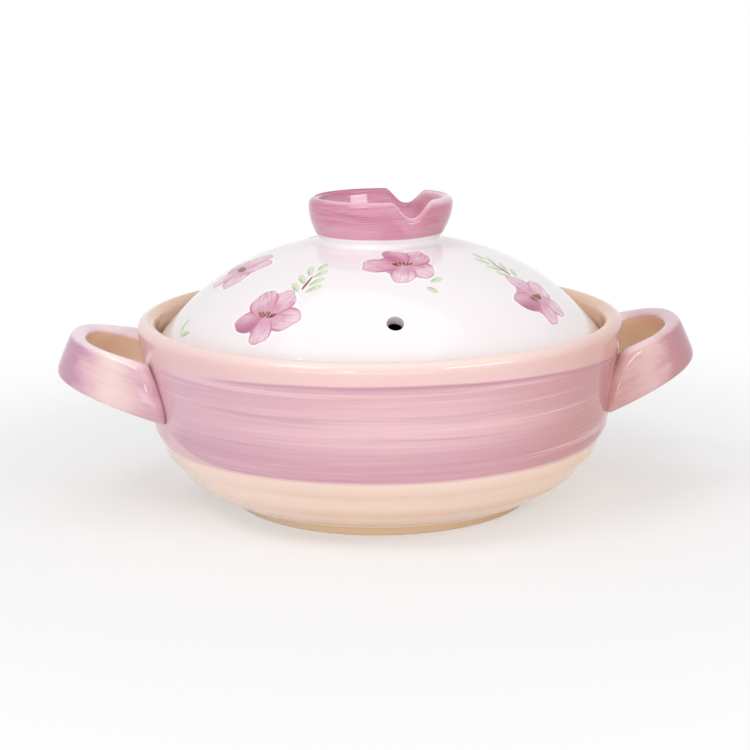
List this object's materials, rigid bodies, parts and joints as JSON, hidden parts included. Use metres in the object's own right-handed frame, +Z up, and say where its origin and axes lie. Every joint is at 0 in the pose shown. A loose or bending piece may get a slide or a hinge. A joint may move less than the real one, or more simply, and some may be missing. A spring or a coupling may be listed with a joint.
{
  "type": "lidded clay pot",
  "caption": "Round clay cooking pot with looped strap handles, a foot ring and a domed lid with a steam hole and an open ring knob; the lid lifts off its step.",
  "frame": {"origin": "centre of the foot ring on the surface that the pot stands on", "axes": "+Z up along the pot's axis, +X through the right handle, -Y towards the steam hole and the picture's viewer"},
  "size_m": [0.3166, 0.24, 0.151],
  "materials": {
    "body_glaze": "glossy glaze, brushed pink over cream",
    "handle_glaze": "glossy glaze, brushed pink over cream",
    "lid_glaze": "glossy white glaze with painted blossoms",
    "knob_glaze": "glossy rose glaze, brushed"
  },
  "bodies": {
    "pot": {"pot_body": "body_glaze", "left_handle": "handle_glaze", "right_handle": "handle_glaze"},
    "lid": {"lid_dome": "lid_glaze", "lid_knob": "knob_glaze"}
  },
  "joints": [
    {"name": "lid_lift", "type": "slide", "parent": "pot", "child": "lid", "axis": [0, 0, 1], "range_m": [0, 0.12]}
  ]
}
